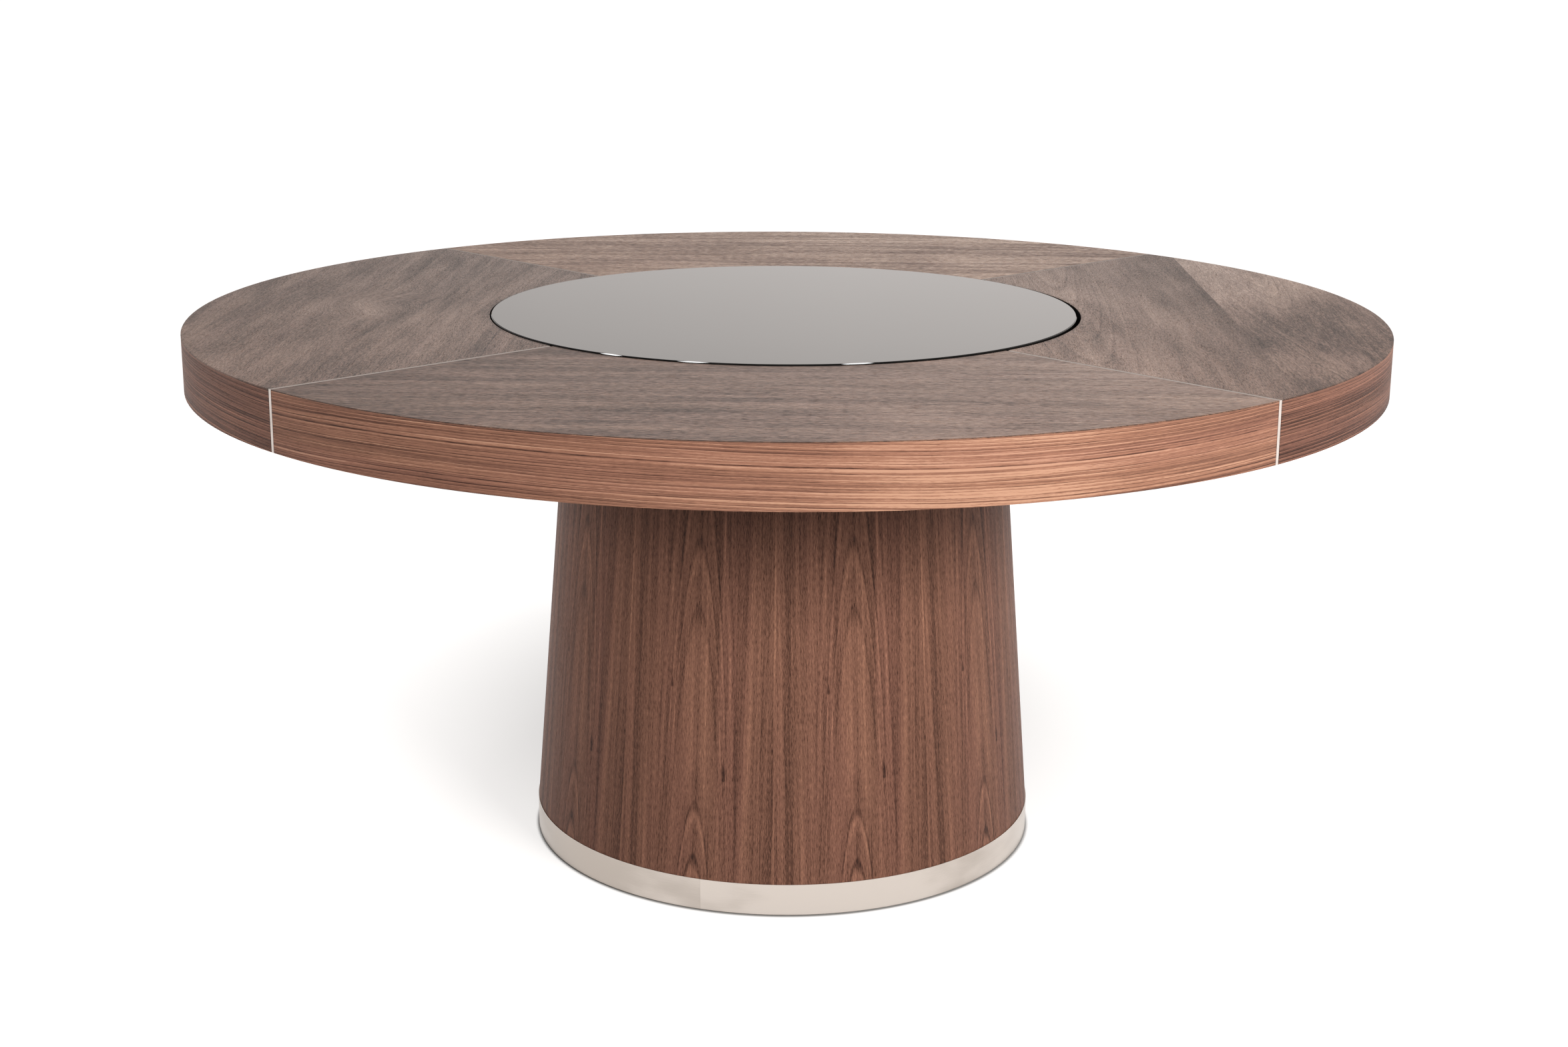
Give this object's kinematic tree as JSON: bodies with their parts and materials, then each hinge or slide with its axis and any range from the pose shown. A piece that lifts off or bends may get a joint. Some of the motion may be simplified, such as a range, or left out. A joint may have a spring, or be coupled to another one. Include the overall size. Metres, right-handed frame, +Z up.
{
  "type": "round dining table with a turntable",
  "caption": "Round walnut dining table on a tapered drum pedestal, with steel inlays and a turning glass centre.",
  "frame": {"origin": "on the floor at the centre of the pedestal, midway between the glides", "axes": "+Z up along the pedestal's axis; -Y is the front, so the inlay strips lie at 45 degrees to X and Y"},
  "size_m": [1.6498, 1.6498, 0.7585],
  "materials": {
    "walnut_top": "open-pore satin walnut veneer, greyish brown",
    "walnut_apron": "open-pore satin walnut veneer, grain lying flat round the edge",
    "walnut_shell": "open-pore satin walnut veneer, grain upright, slip matched",
    "core_board": "raw medium density fibreboard",
    "stained_panel": "walnut-stained lacquered panel",
    "black_lacquer": "board with matte black lacquer",
    "birch_ply": "raw birch plywood",
    "beech": "raw turned beech",
    "inlay_steel": "fine matte stainless strip",
    "plinth_steel": "satin brushed stainless, brushed round the ring",
    "zinc_steel": "zinc plated",
    "bolt_steel": "black oxide",
    "ballast_steel": "plasma-cut mild steel with mill scale",
    "bearing_aluminium": "turned, clear anodised",
    "bearing_steel": "polished ball steel",
    "insert_brass": "machined",
    "cage_nylon": "natural nylon",
    "glide_nylon": "dark nylon glide on a steel nail",
    "clear_pad": "clear soft bonding pad",
    "smoked_glass": "smoked toughened glass painted black on its lower face, polished edge"
  },
  "bodies": {
    "table": {"leaf_back": "walnut_top", "leaf_left": "walnut_top", "leaf_front": "walnut_top", "leaf_right": "walnut_top", "apron_back": "walnut_apron", "apron_left": "walnut_apron", "apron_front": "walnut_apron", "apron_right": "walnut_apron", "rim_back": "core_board", "rim_left": "core_board", "rim_front": "core_board", "rim_right": "core_board", "inlay_back_right": "inlay_steel", "inlay_back_left": "inlay_steel", "inlay_front_left": "inlay_steel", "inlay_front_right": "inlay_steel", "seam_rib_back_right": "core_board", "seam_rib_back_left": "core_board", "seam_rib_front_left": "core_board", "seam_rib_front_right": "core_board", "mid_rib_back": "core_board", "mid_rib_left": "core_board", "mid_rib_front": "core_board", "mid_rib_right": "core_board", "underside_panel": "stained_panel", "underside_screws": "zinc_steel", "hub_block": "core_board", "well_floor": "black_lacquer", "well_ring": "core_board", "well_liner": "black_lacquer", "bearing_fixed_ring": "bearing_aluminium", "fixed_ring_screws": "zinc_steel", "pedestal_head_plate": "core_board", "shell_front": "walnut_shell", "shell_back": "walnut_shell", "shell_spline_left": "birch_ply", "shell_spline_right": "birch_ply", "cross_panel_wide": "birch_ply", "cross_panel_deep": "birch_ply", "middle_former": "core_board", "panel_dowels": "beech", "foot_plate": "core_board", "foot_cover": "stained_panel", "foot_cover_screws": "zinc_steel", "ballast_plates": "ballast_steel", "ballast_screws": "zinc_steel", "floor_glides": "glide_nylon", "plinth_core": "core_board", "plinth_ring": "plinth_steel", "mount_bolts": "bolt_steel", "mount_washers": "zinc_steel", "threaded_inserts": "insert_brass"},
    "turntable": {"turntable_glass": "smoked_glass", "glass_pads": "clear_pad", "turntable_carrier": "black_lacquer", "turning_ring_screws": "zinc_steel", "bearing_turning_ring": "bearing_aluminium"},
    "ball_cage": {"bearing_balls": "bearing_steel", "bearing_ball_cage": "cage_nylon"}
  },
  "joints": [
    {"name": "turntable_spin", "type": "hinge", "parent": "table", "child": "turntable", "pos_m": [0, 0, 0.7245], "axis": [0, 0, 1], "continuous": true},
    {"name": "ball_cage_spin", "type": "hinge", "parent": "table", "child": "ball_cage", "pos_m": [0, 0, 0.7245], "axis": [0, 0, 1], "continuous": true}
  ],
  "couplings": [
    {"joint": "ball_cage_spin", "follows": "turntable_spin", "ratio": 0.4925}
  ]
}
